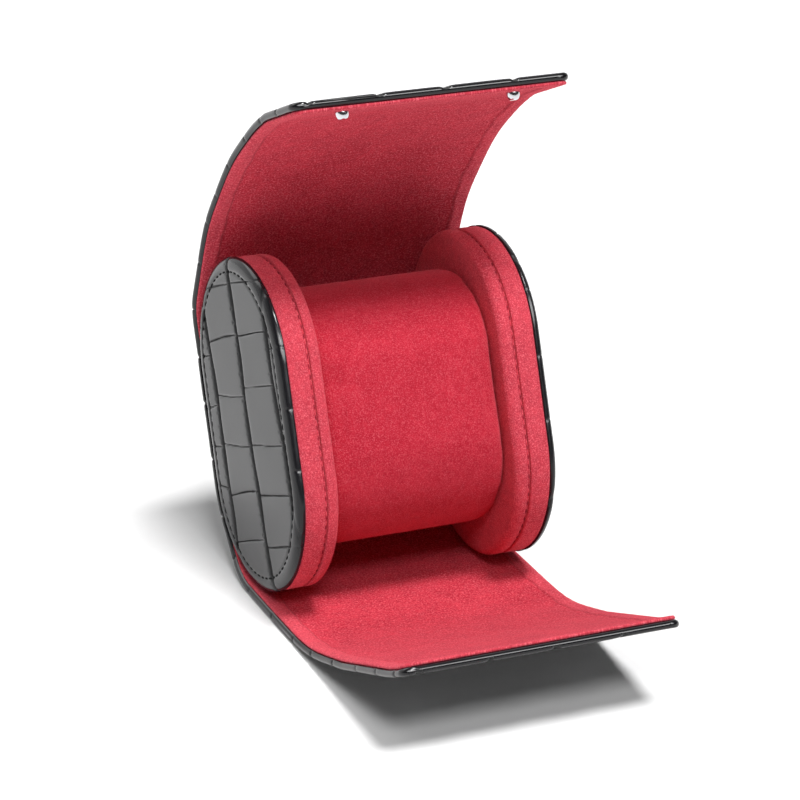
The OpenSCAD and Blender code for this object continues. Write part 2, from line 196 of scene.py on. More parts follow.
def soft_step(value, low, high):
    share = np.clip((value - low) / (high - low), 0, 1)
    return share * share * (3 - 2 * share)


# The real wrap's place is an average over this length to either side, with these shares
SOFT_REACH = 10.0
SOFT_SHARES = ((-1.0, 0.06), (-0.66, 0.14), (-0.33, 0.2), (0.0, 0.2), (0.33, 0.2), (0.66, 0.14), (1.0, 0.06))
# It fades in round a flap's first fold, and out where the flap's straight front begins
SOFT_FADE_IN = (-8, 8)
SOFT_FADE_OUT = (-8, 4)
STRAIGHT_FROM = {1: TIP[1] - TOP_FRONT, -1: TIP[-1] - BOTTOM_FRONT - LIP_LENGTH}


def trace(side, lengths):
    """The same for the real wrap, whose leather eases the flaps' corners between curve and straight."""
    lengths = np.asarray(lengths, float)
    ease = SOFT_REACH * soft_step(lengths, *(FOLDS[side][0] + near for near in SOFT_FADE_IN))
    ease *= 1 - soft_step(lengths, *(STRAIGHT_FROM[side] + near for near in SOFT_FADE_OUT))
    parts = [share * np.array(stiff_trace(side, lengths + ease * step)) for step, share in SOFT_SHARES]
    y, z, heading = sum(parts)
    return y, z, heading


def beside(side, lengths, depth):
    """Depth and height of points that lie this deep in the wrap, counted outwards from the lining's face."""
    y, z, heading = trace(side, lengths)
    return y + side * depth * np.sin(heading), z - side * depth * np.cos(heading)


# Heights of the closing circles' middles over the caps' middle, and where the snaps sit along the wrap
TOP_CLOSE = CAP_STRAIGHT / 2 + (PATH_R - TOP_R) * math.sin(math.radians(TOP_LEAVE))
BOTTOM_CLOSE = -CAP_STRAIGHT / 2 + (BOTTOM_R - PATH_R) * math.sin(math.radians(BOTTOM_LEAVE))
STUD_AT = TIP[1] - STUD_SETBACK
SOCKET_AT = TIP[-1] - LIP_LENGTH - BOTTOM_FRONT + TOP_CLOSE - TOP_FRONT + STUD_SETBACK - BOTTOM_CLOSE

REST_RUN = reach(BOTTOM_R, BOTTOM_FOLDS[0]) - FOLD_GAP / 2
REST_AT = CAP_STRAIGHT / 2 + PATH_R * math.radians(BOTTOM_LEAVE) + REST_RUN / 2
REST_Y, REST_Z = (float(v[0]) for v in beside(-1, [REST_AT], WRAP_T))


def seated(x, y, z):
    """Points of the upright case as points of the leaning one, in metres."""
    y, z = y - REST_Y, z - REST_Z
    across = np.broadcast_to(x, y.shape)
    deep = y * math.cos(LEAN) + z * math.sin(LEAN)
    high = z * math.cos(LEAN) - y * math.sin(LEAN)
    return np.stack([across, deep, high], axis=-1) * MM


SEAT = Matrix.Rotation(-LEAN, 4, "X") @ Matrix.Translation((0, -REST_Y * MM, -REST_Z * MM))


def linear(hex_colour):
    """An sRGB hex colour as linear red, green, blue and alpha."""
    parts = [int(hex_colour[i:i + 2], 16) / 255 for i in (1, 3, 5)]
    return [c / 12.92 if c <= 0.04045 else ((c + 0.055) / 1.055) ** 2.4 for c in parts] + [1.0]


def colour(name, description, hex_colour):
    return bpy.props.FloatVectorProperty(
        name=name, description=description, subtype="COLOR", size=4, min=0, max=1,
        default=linear(hex_colour))


def distance(name, description, millimetres):
    return bpy.props.FloatProperty(
        name=name, description=description, unit="LENGTH", subtype="DISTANCE", min=0,
        default=millimetres * MM)


class CaseFinishes(bpy.types.PropertyGroup):
    """Colours of the case's materials"""

    leather: colour("Leather", "Top coat of the embossed leather", "#141316")
    # The caps' paler coat is a painted reflection of the white floor that their faces mirror
    cap_leather: colour("Cap leather", "Top coat of the end caps, worn paler by handling", "#1c1c1f")
    # The grooves' near-black is painted shade, standing in for the shadow down in the pressed grooves
    groove: colour("Grooves", "Leather at the bottom of the pressed grooves", "#050506")
    suede: colour("Suede", "Microfibre suede of lining, caps and cushion", "#e03a4d")
    # This colour is also the painted shade laid over the whole cushion
    suede_shade: colour("Suede against the nap", "The same suede where its nap leans away", "#b81f34")
    suede_speck: colour("Suede fibre ends", "Fibre ends that catch the light", "#f8818e")
    suede_crease_shade: colour("Suede in creases", "Suede pressed flat along the hem's crease", "#6e0f1c")
    # The crease colour is painted shade along the step from hem to field; the field gets a little of it too
    thread: colour("Thread", "Bonded thread of the stitching on the caps", "#0b0b0c")
    seam_thread: colour("Seam thread", "Thread of the seams in the suede", "#9a1a30")
    chrome: colour("Chrome", "Plating of the snaps", "#d7d9dc")
    board: colour("Greyboard", "Card of the boards and frames in the caps", "#9a8a70")
    foam: colour("Foam", "Foam in the caps and the cushion", "#e0d6bd")


class CaseDetails(bpy.types.PropertyGroup):
    """Sizes of the case's surface detail"""

    scale_pitch: distance("Scale pitch", "Distance between the grooves across a row of scales", 15)
    groove_width: distance("Groove width", "Width of the long grooves in the leather", 1.35)
    groove_depth: distance("Groove depth", "Depth of the grooves in the leather", 0.65)
    hem_width: distance("Hem width", "Width of the raised band along the lining's sides", 4.2)
    hem_step: distance("Hem step", "Height of the raised band over the lining", 0.3)
    stitch_pitch: distance("Stitch pitch", "Distance from one stitch to the next on the caps", 2.9)
    stitch_inset: distance("Stitch inset", "Distance of the stitching from the caps' outline", 4.3)


# --- Materials ---

# A Mix node's sockets when it mixes colours
SHARE, ONE, OTHER, MIXED = 0, 6, 7, 2


def add(tree, kind, inputs=None, **settings):
    """Adds one shader node with its settings.
    An input takes a value, or is linked to a node's first output, or to an output named with its node."""
    made = tree.nodes.new("ShaderNode" + kind)
    for name, value in settings.items():
        setattr(made, name, value)
    for socket, value in (inputs or {}).items():
        if isinstance(value, bpy.types.Node):
            value = (value, 0)
        if isinstance(value, tuple) and isinstance(value[0], bpy.types.Node):
            tree.links.new(value[0].outputs[value[1]], made.inputs[socket])
        else:
            made.inputs[socket].default_value = value
    return made


def total(tree, *patterns):
    """The sum of patterns, each given with its weight."""
    so_far = None
    for pattern, weight in patterns:
        if weight != 1:
            pattern = add(tree, "Math", {0: pattern, 1: weight}, operation="MULTIPLY")
        if so_far is None:
            so_far = pattern
        else:
            so_far = add(tree, "Math", {0: so_far, 1: pattern}, operation="ADD")
    return so_far


def layered(tree, ground, *coats):
    """Colours laid over a ground one after the other, each given after the share that it covers."""
    for share, tint in coats:
        mixed = add(tree, "Mix", {SHARE: share, ONE: ground, OTHER: tint}, data_type="RGBA")
        ground = (mixed, MIXED)
    return ground


def darker(shade, share):
    return [part * share for part in shade[:3]] + [1.0]


def blobs(width_mm):
    """Scale of a noise whose blobs are about this wide."""
    return 0.5 / (width_mm * MM)


def cells(width_mm):
    """Scale of a cell pattern whose cells are about this wide."""
    return 1 / (width_mm * MM)


def material(name, flat=False):
    """A new material, its empty node tree, and where its patterns are read.
    That is along the wrap on its skins, which are flat, and in the piece's own place elsewhere."""
    made = bpy.data.materials.new(name)
    made.use_nodes = True
    tree = made.node_tree
    tree.nodes.clear()
    if flat:
        return made, tree, (add(tree, "UVMap", uv_map="flat"), "UV")
    return made, tree, (add(tree, "TexCoord"), "Object")


def surface(tree, look, relief, strength, depth_mm, **settings):
    """Ends a material: its fine relief as bump, its shader with the inputs in look, and the output."""
    bump = add(tree, "Bump", {
        "Height": relief, "Strength": strength, "Distance": depth_mm * MM}, **settings)
    shader = add(tree, "BsdfPrincipled", {**look, "Normal": bump})
    add(tree, "OutputMaterial", {"Surface": shader})


def leather(name, flat, coat_colour, gloss, shine):
    """Split leather with a polished top coat, pressed hot with a plate of scales.
    The coat gives sharp streaks, the plate dull grooves in painted shade, the grain a fine ripple."""
    finishes = bpy.context.scene.case_finishes
    made, tree, where = material(name, flat)
    groove = (add(tree, "Attribute", attribute_name="groove"), "Fac")
    # Share of painted shade: the coat darkens towards the grooves' colour where the grooves lie
    pressed = add(tree, "MapRange", {"Value": groove, "From Min": 0.12, "From Max": 0.6})
    cloud = add(tree, "TexNoise", {"Vector": where, "Scale": blobs(9.0), "Detail": 3.0})
    tone = add(tree, "MapRange", {
        "Value": cloud, "From Min": 0.35, "From Max": 0.7, "To Max": 0.35})
    pores = add(tree, "TexVoronoi", {"Vector": where, "Scale": cells(0.5)}, feature="SMOOTH_F1")
    ripple = add(tree, "TexNoise", {
        "Vector": where, "Scale": blobs(0.8), "Detail": 3.0, "Roughness": 0.55})
    crease = add(tree, "TexNoise", {
        "Vector": where, "Scale": blobs(3.6), "Detail": 3.0, "Roughness": 0.55, "Distortion": 0.4})
    worn = add(tree, "MapRange", {
        "Value": crease, "From Min": 0.3, "From Max": 0.7, "To Min": gloss, "To Max": gloss + 0.08})
    surface(tree, {
        "Base Color": layered(tree, list(coat_colour), (tone, darker(coat_colour, 0.6)),
                              (pressed, list(finishes.groove))),
        "Roughness": total(tree, (worn, 1), (pressed, 0.5)),
        "IOR": 1.5, "Specular IOR Level": shine},
        total(tree, (ripple, 0.3), (pores, 0.25), (crease, 0.7)), 0.3, 0.05)
    return made


def suede(name, flat, painted_sheen, painted_shade=0.0):
    """Microfibre suede, ground to a short nap.
    The fibre ends glint as pale specks, and the nap leans in soft patches that look lighter or darker.
    The third argument is painted sheen on the hem and on the caps, the last painted shade on the cushion.
    Real fibres are finer than the specks, which are drawn wide enough to show."""
    finishes = bpy.context.scene.case_finishes
    shade, speck = list(finishes.suede_shade), list(finishes.suede_speck)
    made, tree, where = material(name, flat)
    patches = add(tree, "TexNoise", {
        "Vector": where, "Scale": blobs(6.0), "Detail": 4.0, "Roughness": 0.6, "Distortion": 0.4})
    nap = add(tree, "TexNoise", {
        "Vector": where, "Scale": blobs(1.1), "Detail": 3.0, "Roughness": 0.7})
    fibre = add(tree, "TexNoise", {
        "Vector": where, "Scale": blobs(0.26 if flat else 0.18), "Roughness": 0.75, "Distortion": 0.5})
    lean = total(tree, (patches, 0.4), (nap, 0.45), (fibre, 0.6))
    upright = add(tree, "MapRange", {"Value": lean, "From Min": 0.58, "From Max": 0.86})
    ends = add(tree, "MapRange", {
        "Value": fibre, "From Min": 0.5, "From Max": 0.68, "To Max": 0.75})
    field = (add(tree, "Attribute", attribute_name="groove"), "Fac")
    hem = add(tree, "Math", {0: 1.0, 1: field}, operation="SUBTRACT")
    # crease peaks where the field meets the hem, and that line takes painted shade
    crease = add(tree, "Math", {0: field, 1: hem}, operation="MULTIPLY")
    # Painted sheen: the hem, and pieces with no field all over, are paled towards the specks' colour
    painted_sheen_share = add(tree, "Math", {0: hem, 1: painted_sheen}, operation="MULTIPLY")
    # After the specks come painted shade, painted sheen, and painted shade along the hem's crease
    base = layered(tree, shade, (upright, list(finishes.suede)), (ends, speck), (painted_shade, shade),
                   (painted_sheen_share, speck),
                   (total(tree, (crease, 1.2), (field, 0.06)), list(finishes.suede_crease_shade)))
    surface(tree, {
        "Base Color": base, "Roughness": 0.95, "IOR": 1.4, "Specular IOR Level": 0.2,
        "Sheen Weight": 0.45, "Sheen Roughness": 0.45, "Sheen Tint": speck},
        total(tree, (nap, 1), (fibre, 0.9)), 0.8, 0.4)
    return made


def thread(name, shade, drift):
    """Bonded polyester thread, dull, whose tone drifts from one stitch to the next.
    drift is the scale of that wave: 100 brings a tone back after about 6 mm."""
    made, tree, where = material(name)
    wave = add(tree, "TexWave", {
        "Vector": where, "Scale": drift, "Distortion": 1.0, "Detail": 1.0},
        bands_direction="DIAGONAL")
    tone = (wave, "Fac")
    surface(tree, {
        "Base Color": layered(tree, darker(shade, 0.6), (tone, list(shade))),
        "Roughness": 0.7, "IOR": 1.5, "Specular IOR Level": 0.15}, tone, 0.6, 0.05)
    return made


def plating(name):
    """Brass plated with bright chrome, which mirrors its surroundings and has fine polishing marks."""
    made, tree, where = material(name)
    marks = add(tree, "TexNoise", {"Vector": where, "Scale": blobs(0.15), "Roughness": 0.6})
    smear = add(tree, "TexNoise", {"Vector": where, "Scale": blobs(1.4)})
    rubbed = add(tree, "MapRange", {
        "Value": marks, "From Min": 0.3, "From Max": 0.7, "To Min": 0.04, "To Max": 0.12})
    surface(tree, {
        "Base Color": list(bpy.context.scene.case_finishes.chrome), "Metallic": 1.0,
        "Roughness": total(tree, (rubbed, 1), (smear, 0.08))}, marks, 0.1, 0.01)
    return made


def greyboard(name):
    """Grey card pressed from waste paper, with darker flecks of fibre and a dull face."""
    board = list(bpy.context.scene.case_finishes.board)
    made, tree, where = material(name)
    flecks = add(tree, "TexNoise", {
        "Vector": where, "Scale": blobs(0.9), "Detail": 4.0, "Roughness": 0.7})
    cloud = add(tree, "TexNoise", {"Vector": where, "Scale": blobs(6.0)})
    dense = add(tree, "MapRange", {"Value": flecks, "From Min": 0.45, "From Max": 0.6})
    share = add(tree, "Math", {0: dense, 1: cloud}, operation="MULTIPLY")
    surface(tree, {
        "Base Color": layered(tree, board, (share, darker(board, 0.55))),
        "Roughness": 0.9, "IOR": 1.45}, flecks, 0.4, 0.08)
    return made


def foam(name):
    """Cut polyurethane foam, whose open cells show as pale walls round small pits in painted shade."""
    pale = list(bpy.context.scene.case_finishes.foam)
    made, tree, where = material(name)
    walls = add(tree, "TexVoronoi", {
        "Vector": where, "Scale": cells(0.6)}, feature="DISTANCE_TO_EDGE")
    pit_shade = add(tree, "MapRange", {"Value": walls, "From Min": 0.02, "From Max": 0.25})
    surface(tree, {
        "Base Color": layered(tree, pale, (pit_shade, darker(pale, 0.6))),
        "Roughness": 0.95, "IOR": 1.4}, walls, 0.6, 0.2, invert=True)
    return made


# --- Mesh tools ---

def grid(columns, rows):
    """A flat grid, with the column and row of each of its points."""
    bm = bmesh.new()
    bmesh.ops.create_grid(bm, x_segments=columns - 1, y_segments=rows - 1, size=1.0)
    places = np.array([v.co[:2] for v in bm.verts])
    column = np.rint((places[:, 0] + 1) / 2 * (columns - 1)).astype(int)
    row = np.rint((places[:, 1] + 1) / 2 * (rows - 1)).astype(int)
    return bm, column, row


def move_points(bm, places):
    for vert, place in zip(bm.verts, places):
        vert.co = place


def close_up(bm, merge=0.004):
    """Merges the points that meet, and closes what is open with sharp-edged faces."""
    bmesh.ops.remove_doubles(bm, verts=bm.verts, dist=merge * MM)
    bmesh.ops.dissolve_degenerate(bm, dist=merge * MM / 4, edges=bm.edges)
    open_edges = [e for e in bm.edges if e.is_boundary]
    if open_edges:
        for edge in open_edges:
            edge.smooth = False
        bmesh.ops.holes_fill(bm, edges=open_edges, sides=0)
    bmesh.ops.recalc_face_normals(bm, faces=bm.faces)


def finished(bm, name, finish, turn_out=True):
    """The mesh as an object with its material, smooth and facing outwards."""
    if turn_out and bm.calc_volume(signed=True) < 0:
        bmesh.ops.reverse_faces(bm, faces=bm.faces)
    for face in bm.faces:
        face.smooth = True
    mesh = bpy.data.meshes.new(name)
    bm.to_mesh(mesh)
    bm.free()
    mesh.materials.append(finish)
    made = bpy.data.objects.new(name, mesh)
    bpy.context.scene.collection.objects.link(made)
    return made


def steps(start, stop, spacing):
    """Evenly spaced values from start to stop, both included."""
    return np.linspace(start, stop, max(2, int(math.ceil(abs(stop - start) / spacing)) + 1))


def mark_points(bm, marks):
    """Writes on each point how far it lies in a groove, or in the lining's field, for the materials."""
    layer = bm.verts.layers.float.new("groove")
    for vert, mark in zip(bm.verts, marks):
        vert[layer] = mark


def swell(size, across, along, seed=0.0):
    """Slow unevenness of a hand-made surface, as a height."""
    return size * (0.5 * np.sin(across / 13.0 + 1.3 * seed) * np.cos(along / 17.0 + seed)
                   + 0.3 * np.sin(across / 5.9 - along / 8.3 + 2.1 * seed)
                   + 0.2 * np.cos(along / 4.3 + across / 9.1 + seed))


def rough(size, across, along, seed=0.0):
    """Fine unevenness of a napped surface, as a height."""
    return size * (np.sin(across * 3.1 + 1.7 * np.sin(along * 2.3 + seed))
                   * np.cos(along * 3.7 + 1.9 * np.sin(across * 1.9 - seed))
                   + 0.6 * np.sin(across * 7.3 + along * 5.1 + 2.0 * np.sin(along * 6.1)))


def crossings(count, reach_mm, seed):
    """Places of the short grooves in each row of scales, a pitch apart with some unevenness."""
    pitch = bpy.context.scene.case_details.scale_pitch / MM
    half = int(reach_mm / pitch) + 1
    return [[(k + 0.5 * math.sin(2.4 * row + seed)) * pitch + 1.4 * math.sin(12.9 * k + 4.1 * row + seed)
             for k in range(-half, half + 1)] for row in range(count)]


def scales(across, along, lines, crossed, seed):
    """How deep the pressed grooves are at each point, from 0 to 1, and how near they are.
    Long grooves run along these lines, and short ones cross each row of scales between two of them."""
    half = bpy.context.scene.case_details.groove_width / MM / 2
    deep, near = np.zeros_like(across), np.zeros_like(across)
    row = np.zeros(across.shape, int)
    for i, line in enumerate(lines):
        wander = 0.7 * np.sin(along / 17.0 + 2.1 * i + seed) + 0.3 * np.sin(along / 6.3 + 1.3 * i)
        gap = across - line - wander
        thick = half * (1.2 + 0.25 * np.sin(along / 3.1 + 2.0 * i))
        deep = np.maximum(deep, np.exp(-(gap / thick) ** 2))
        near = np.maximum(near, np.exp(-(gap / 2.0) ** 2))
        nick = np.sin(along * 1.9 + 1.5 * np.sin(along / 4.0 + i)) > 0.93
        deep = np.maximum(deep, 0.45 * nick * np.exp(-((gap - 1.3) / 0.6) ** 2))
        row[gap > 0] = i + 1
    bow = 0.5 * np.sin(across / 6.5 + 1.9 * row) + 0.05 * across * np.sin(3.7 * row + seed)
    for number, places in enumerate(crossed):
        here = row == number
        for i, place in enumerate(places):
            gap = along[here] - place - bow[here] * math.cos(1.7 * i + number)
            thick = half * (0.3 + 0.05 * np.sin(across[here] / 2.3 + i))
            deep[here] = np.maximum(deep[here], 0.85 * np.exp(-(gap / thick) ** 2))
            near[here] = np.maximum(near[here], 0.7 * np.exp(-(gap / 1.1) ** 2))
    return deep, near


# --- Skins of the wrap ---

# How finely the skins are divided: spacings in millimetres, and steps on a skin's inner face,
# round its edge and round a flap's corner
LEATHER_SPACING = 0.45
LEATHER_UNDER = 14
LINING_SPACING = 0.5
LINING_UNDER = 160
EDGE_STEPS = 10
CORNER_STEPS = 24
# How far a tip's edge rounds off: a share of 1 would lay its two faces on one line
NEARLY_SHUT = 0.9999


def flat_map(bm, across, along):
    """Lays the piece out flat for its patterns: metres across the wrap and along it."""
    layer = bm.loops.layers.uv.new("flat")
    for face in bm.faces:
        for loop in face.loops:
            i = loop.vert.index
            loop[layer].uv = (across[i] * MM, along[i] * MM)


def section(half_width, spacing, edge_steps, under_steps):
    """One loop round a sheet: share of the flat half width, share of the edge's rounding, and height.
    It runs over the outer face, round the right edge, back over the inner face and round the left."""
    over = np.linspace(-1, 1, int(2 * half_width / spacing))
    under = np.linspace(1, -1, under_steps)
    turn = np.radians(np.linspace(90, -90, edge_steps + 1))[1:-1]
    ones = np.ones_like(turn)
    flat = np.concatenate([over, ones, under, -ones, [-1]])
    edge = np.concatenate([0 * over, np.cos(turn), 0 * under, -np.cos(turn), [0]])
    high = np.concatenate([0 * over + 1, np.sin(turn), 0 * under - 1, -np.sin(turn), [1]])
    return flat, edge, high


def skin_lengths(first, last, tip, corner, spacing):
    """Lengths along the wrap at which a skin has a row of points, closer round a flap's corners."""
    if not tip:
        return steps(first, last, spacing)
    straight = steps(first, last - corner, spacing)
    turn = np.radians(np.linspace(0, 90, CORNER_STEPS + 1))[1:]
    return np.concatenate([straight, last - corner + corner * np.sin(turn)])


def skin(side, first, last, tip, half_width, depth_in, depth_out, corner, spacing, relief, under_steps):
    """A sheet of the wrap between two lengths, with rounded edges, and closed at a flap's tip.
    relief moves the outer or inner face: it takes the points across, along and facing outwards."""
    thick = (depth_out - depth_in) / 2
    middle = (depth_out + depth_in) / 2
    flat, edge, high = section(half_width, spacing, EDGE_STEPS, under_steps)
    lengths = skin_lengths(first, last, tip, corner, spacing)
    bm, column, row = grid(len(flat), len(lengths))
    along = lengths[row]
    width = half_width - BACK_NARROWER * (1 - soft_step(along, BACK_NARROW[side], BACK_WIDE[side]))
    end = np.zeros_like(along)
    if tip:
        round_part = np.clip(along - (last - corner), 0, corner)
        width = width - corner + np.sqrt(np.maximum(corner ** 2 - round_part ** 2, 0))
        end = np.clip((along - (last - thick)) / thick, 0, NEARLY_SHUT)
    squeeze = np.sqrt(1 - end ** 2)
    x = flat[column] * (width - thick) + edge[column] * thick
    depth, mark = relief(x, along, high[column])
    out_x = x + edge[column] * depth
    out_depth = middle + (high[column] * thick + high[column] * depth) * squeeze
    out_along = along + end * depth
    y, z = beside(side, out_along, out_depth)
    mark_points(bm, mark)
    bm.verts.index_update()
    flat_map(bm, x, side * along)
    move_points(bm, seated(out_x, y, z))
    close_up(bm)
    return bm


def hinge_point(side, at):
    y, z = beside(side, [at], 0.0)
    return seated(np.array([0.0]), y, z)[0]


def bend(piece, side, number):
    """Finds hinge points on either side of a flap's fold, which nothing uses, and bakes the skin's place into
    its mesh.
    """
    at = FOLDS[side][number]
    hinge_point(side, at - FOLD_SPREAD)
    hinge_point(side, at + FOLD_SPREAD)
    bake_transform(piece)


def wrap_parts():
    """The six stretches of the wrap: side, number, name, first and last length, and whether it is a tip."""
    for side, word in ((1, "top"), (-1, "bottom")):
        first, second, third = FOLDS[side]
        cuts = (0.0, (first + second) / 2, (second + third) / 2, TIP[side])
        for number, name in enumerate(("root", "middle", "tip")):
            yield side, number, f"{word}_{name}", cuts[number], cuts[number + 1], number == 2


WRAP_NODES = {
    "top_root": ("back",),
    "top_middle": ("top_shoulder",),
    "top_tip": ("top_crown", "top_front"),
    "bottom_root": (),
    "bottom_middle": ("bottom_shoulder",),
    "bottom_tip": ("bottom_crown", "bottom_front"),
}
# The skins are narrower round the caps' back, and widen between these lengths
BACK_NARROWER = 2.0
BACK_NARROW = {1: 20.0, -1: 30.0}
BACK_WIDE = {1: 40.0, -1: 54.0}
# Places of the long grooves on the wrap and the caps, and of the short ones in each row on a cap.
# The caps' long grooves slant a little, and on the right cap the short ones are moved along.
WRAP_LINES = (-37.0, -16.0, 2.5, 24.5)
WRAP_REACH = 180.0
CAP_LINES = (-26.4, -2.2, 21.5)
CAP_CROSSINGS = ((21, 4, -13), (41, 26.5, 11, -6.4, -20.5, -35), (41, 26, 8.5, -6, -19.5, -33.7),
                 (28, 21, 7.3, -6.3, -19.2))
LINES_SLANT = 0.035
RIGHT_SHIFT = 5.0
# The leather sinks this deep under a socket, between these radii
SOCKET_DEEP = 1.5
SOCKET_HOLLOW = (2.7, 3.5)
# The lining's hem: a ridge at its inner edge, and a roll that is full on the free end of each flap
HEM_RIDGE = 0.16
HEM_ROLL = 0.4
HEM_ROLL_AT = 2.0
HEM_ROLL_WIDE = 1.3
FREE_END = (62, 74)
RIM_WIDE = 3.4
RIM_DEEP = 2.1
# The furrow that the caps' stitches are sunk in, and the mark that darkens it with painted shade
FURROW_WIDE = 0.45
FURROW_DEEP = 0.24
FURROW_MARK = 0.16


def leather_relief(side):
    """Relief of the wrap's outer face: pressed grooves, slow unevenness and room for the sockets."""
    details = bpy.context.scene.case_details
    deepest = details.groove_depth / MM
    crossed = crossings(len(WRAP_LINES) + 1, WRAP_REACH, 0.7)

    def relief(x, along, high):
        deep, near = scales(x, side * along, WRAP_LINES, crossed, 0.7)
        outside = np.clip((high + 0.95) / 0.4, 0, 1)
        height = -deepest * deep - 0.1 * near + swell(0.08, x, side * along, 2.0) - 0.05
        if side < 0:
            from_socket = np.hypot(np.abs(x) - SNAP_X, along - SOCKET_AT)
            sunk = 1 - soft_step(from_socket, *SOCKET_HOLLOW)
            height = height - SOCKET_DEEP * (high > 0.99) * sunk
        return height * outside, deep * outside

    return relief


def lining_relief(side, last, half_width):
    """Relief of the lining's inner face: a field inside a raised hem, and the unevenness of its nap."""
    details = bpy.context.scene.case_details
    hem = details.hem_width / MM
    step = details.hem_step / MM

    def relief(x, along, high):
        from_side = half_width - np.abs(x)
        from_edge = np.minimum(from_side, 0.75 * (last - along + 0.8))
        wander = 0.25 * np.sin(along / 5.0 + x / 7.0) + 0.15 * np.sin(along / 1.7)
        share = np.clip((from_edge - hem - wander) / 0.9, 0, 1)
        field = share * share * (3 - 2 * share)
        ridge = HEM_RIDGE * np.exp(-((from_edge - hem - wander + 0.3) / 0.5) ** 2)
        free = soft_step(along, *FREE_END)
        roll = HEM_ROLL * free * np.exp(-((from_edge - HEM_ROLL_AT) / HEM_ROLL_WIDE) ** 2)
        height = -step * field + ridge + roll - 0.08
        height += (1 + 0.5 * free) * rough(0.022, x, side * along) + swell(0.07, x, side * along, 5.0)
        inside = np.clip((0.6 - high) / 0.8, 0, 1)
        return height * inside, field

    return relief


class CASE_OT_wrap_leather(bpy.types.Operator):
    """Makes the embossed leather of the back and both flaps"""

    bl_idname = "watch_case.wrap_leather"
    bl_label = "Wrap leather"

    def execute(self, context):
        finish = leather("embossed_leather_polished", True, context.scene.case_finishes.leather,
                         gloss=0.1, shine=0.45)
        for side, number, name, first, last, tip in wrap_parts():
            bm = skin(side, first, last, tip, WRAP_HALF, LINING_T + 0.05, WRAP_T, CORNER_R,
                      LEATHER_SPACING, leather_relief(side), LEATHER_UNDER)
            piece = finished(bm, f"wrap_leather_{name}", finish)
            bend(piece, side, number)
            for panel in WRAP_NODES[name]:
                inner = "padding" if panel == "back" else "stiffener"
                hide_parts(f"{panel}_leather", f"{panel}_{inner}")
        return {"FINISHED"}


class CASE_OT_wrap_lining(bpy.types.Operator):
    """Makes the suede lining of the back and both flaps, with its raised hem"""

    bl_idname = "watch_case.wrap_lining"
    bl_label = "Wrap lining"

    def execute(self, context):
        # The lining's hem is paled with painted sheen
        finish = suede("suede_microfibre_lining", True, painted_sheen=0.13)
        half = WRAP_HALF - LINING_INSET
        for side, number, name, first, last, tip in wrap_parts():
            if tip:
                last -= LINING_INSET
            bm = skin(side, first, last, tip, half, 0.0, LINING_T, CORNER_R - LINING_INSET,
                      LINING_SPACING, lining_relief(side, TIP[side] - LINING_INSET, half),
                      LINING_UNDER)
            piece = finished(bm, f"wrap_lining_{name}", finish)
            bend(piece, side, number)
            for panel in WRAP_NODES[name]:
                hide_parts(f"{panel}_lining")
        return {"FINISHED"}


# --- End caps ---

HANDS = ((-1, "left"), (1, "right"))
# Steps round each half circle of an oval, and along each of its straights
COVER_STEPS = (276, 90)
SUEDE_STEPS = (160, 50)
CUSHION_STEPS = (60, 20)
# Height of the nap's unevenness, and how much further it is read at each point round an oval
NAP_HEIGHT = 0.02
NAP_STEP = 0.45
# Half sizes of a stitch, how far it sits under its face, and the scale of its thread's tone
CAP_STITCH = (0.28, 0.36, 0.95)
CAP_STITCH_SUNK = 0.3
CAP_THREAD_DRIFT = 100.0
SEAM_STITCH = (0.15, 0.15, 0.75)
SEAM_STITCH_SUNK = 0.62
SEAM_THREAD_DRIFT = 125.0


def round_oval(straight, arc_steps, straight_steps):
    """Directions out of an oval's middle line, once round: height on that line, and angle."""
    rise = np.linspace(-straight / 2, straight / 2, straight_steps + 1)
    turn = np.linspace(0, math.pi, arc_steps + 1)
    still = np.zeros_like(rise)
    base = np.concatenate([rise, 0 * turn[1:] + straight / 2, rise[::-1][1:], 0 * turn[1:] - straight / 2])
    angle = np.concatenate([still, turn[1:], still[1:] + math.pi, turn[1:] + math.pi])
    return base, angle


def oval_sweep(hand, profile, straight, centre_y, divided, relief=None):
    """Carries a profile, given as distances from the middle line and places along x, round an oval.
    relief moves the points: it takes their depth, height, distance out, x, row and place round the oval."""
    base, angle = round_oval(straight, *divided)
    profile = np.asarray(profile, float)
    bm, column, row = grid(len(base), len(profile))
    out, x = profile[row, 0], profile[row, 1]
    y = centre_y + out * np.cos(angle[column])
    z = base[column] + out * np.sin(angle[column])
    if relief:
        around = np.arange(len(base))[column] * NAP_STEP
        push_out, push_x, mark = relief(y, z, out, x, row, around)
        y = y + push_out * np.cos(angle[column])
        z = z + push_out * np.sin(angle[column])
        x = x + push_x
        mark_points(bm, mark)
    move_points(bm, seated(hand * x, y, z))
    close_up(bm)
    return bm


def arc(centre, radius, start, stop, count):
    """Points of a profile on an arc: centre and radii as distance out and along x, angles in degrees."""
    turn = np.radians(np.linspace(start, stop, count))
    return [(centre[0] + radius[0] * math.cos(t), centre[1] + radius[1] * math.sin(t)) for t in turn]


def cover_profile():
    """Outer face from the middle to the rim, round the rim, and back over the inside of the tray."""
    face = [(r, CAP_OUT) for r in steps(0, CAP_R - RIM_WIDE, 0.37)[:-1]]
    rim = arc((CAP_R - RIM_WIDE, CAP_OUT - RIM_DEEP), (RIM_WIDE, RIM_DEEP), 90, 0, 18)
    side = [(CAP_R, COLLAR_OUT + 0.2)]
    tray = CAP_R - LEATHER_T
    back = [(CAP_R - 0.3, COLLAR_OUT), (tray + 0.2, COLLAR_OUT), (tray + 0.02, COLLAR_OUT + 0.2),
            (tray + 0.02, CAP_OUT - LEATHER_T), (tray / 2, CAP_OUT - LEATHER_T),
            (0, CAP_OUT - LEATHER_T)]
    return face + rim + side + back, len(face) + len(rim) + len(side)


